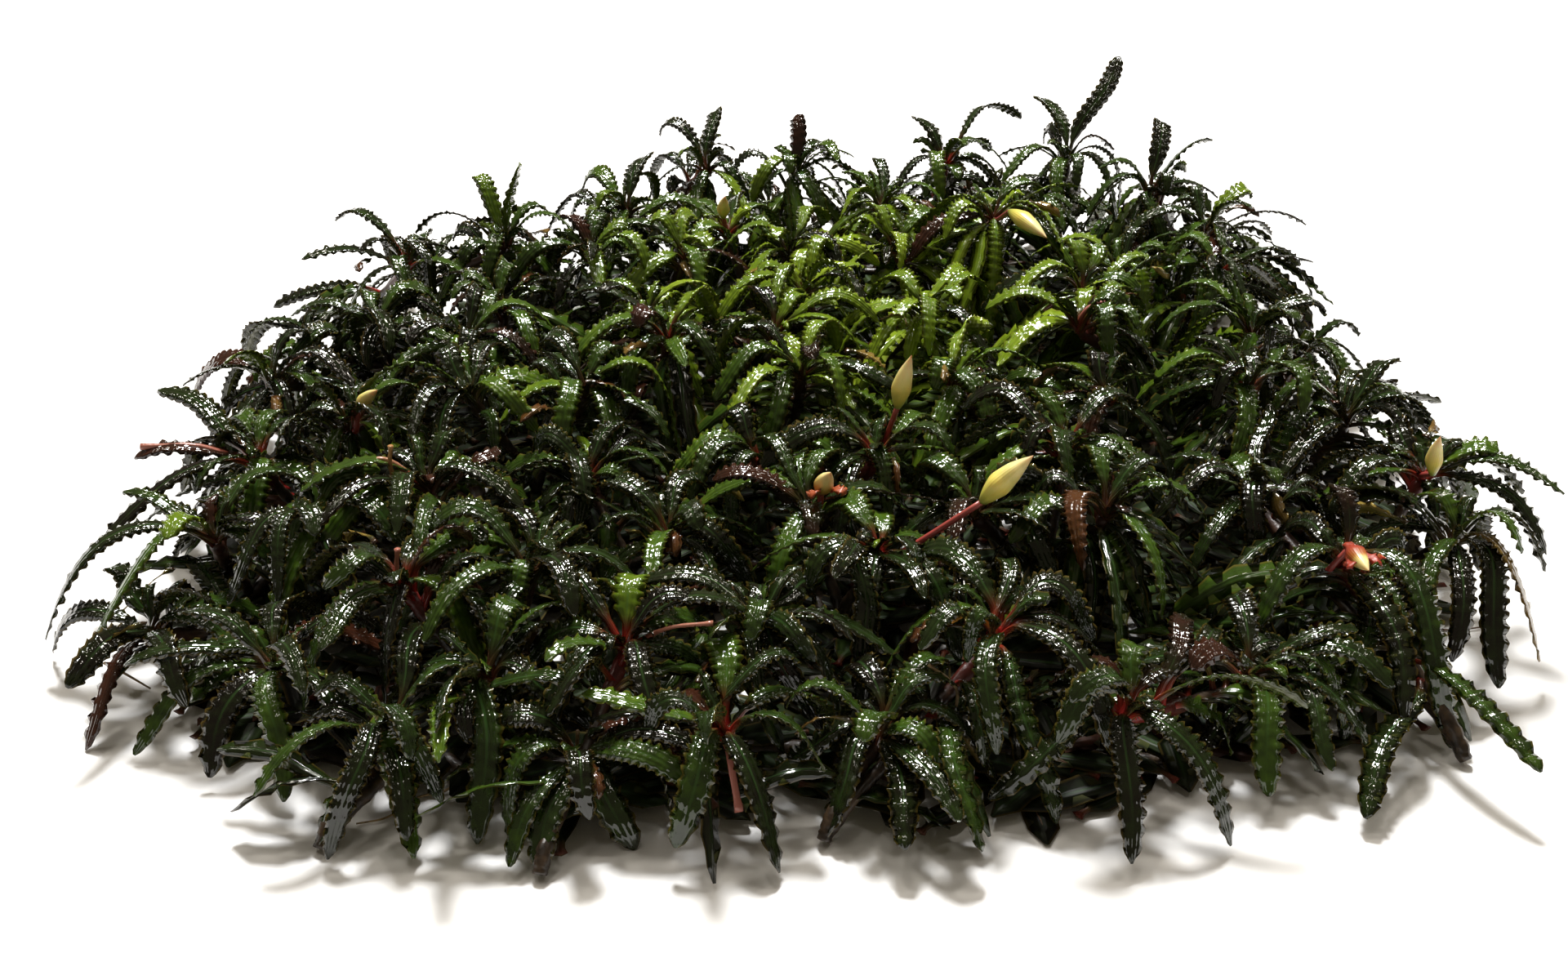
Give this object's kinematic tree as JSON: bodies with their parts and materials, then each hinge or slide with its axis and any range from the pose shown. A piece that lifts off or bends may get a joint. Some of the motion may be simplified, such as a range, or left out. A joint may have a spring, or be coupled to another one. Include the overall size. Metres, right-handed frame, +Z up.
{
  "type": "bucephalandra",
  "caption": "Intergrown mat of wavy-leaved bucephalandra, lying free: rosettes of dark, glossy leaves on creeping stems, with a few cream flower buds.",
  "frame": {"origin": "on the flat underside of the longest creeping stem, on the ground under the middle of the mat", "axes": "+Z up, -Y towards the side that faces the viewer in the picture, +X to that viewer's right"},
  "size_m": [0.3714, 0.4043, 0.08],
  "materials": {
    "leaf": "wet, glossy dark green leaf with red-brown stalks",
    "rhizome": "damp brown creeping stem and roots",
    "flower": "waxy cream-yellow bud on a red stalk"
  },
  "bodies": {
    "root": {"flower_bud_1": "flower", "flower_bud_2": "flower", "flower_bud_3": "flower", "flower_bud_4": "flower", "flower_bud_5": "flower", "flower_bud_6": "flower", "flower_bud_7": "flower", "flower_bud_8": "flower", "plant_01": "leaf", "plant_02": "leaf", "plant_03": "leaf", "plant_04": "leaf", "plant_05": "leaf", "plant_06": "leaf", "plant_07": "leaf", "plant_08": "leaf", "plant_09": "leaf", "plant_10": "leaf", "plant_11": "leaf", "plant_12": "leaf", "plant_13": "leaf", "plant_14": "leaf", "plant_15": "leaf", "plant_16": "leaf", "plant_17": "leaf", "plant_18": "leaf", "plant_19": "leaf", "plant_20": "leaf", "plant_21": "leaf", "plant_22": "leaf", "plant_23": "leaf", "plant_24": "leaf", "plant_25": "leaf", "plant_26": "leaf", "plant_27": "leaf", "plant_28": "leaf", "plant_29": "leaf", "plant_30": "leaf", "plant_31": "leaf", "plant_32": "leaf", "plant_33": "leaf", "plant_34": "leaf", "plant_35": "leaf", "plant_36": "leaf", "plant_37": "leaf", "rhizome_01": "rhizome", "rhizome_02": "rhizome", "rhizome_03": "rhizome", "rhizome_04": "rhizome", "rhizome_05": "rhizome", "rhizome_06": "rhizome", "rhizome_07": "rhizome", "rhizome_08": "rhizome", "rhizome_09": "rhizome"}
  },
  "joints": []
}
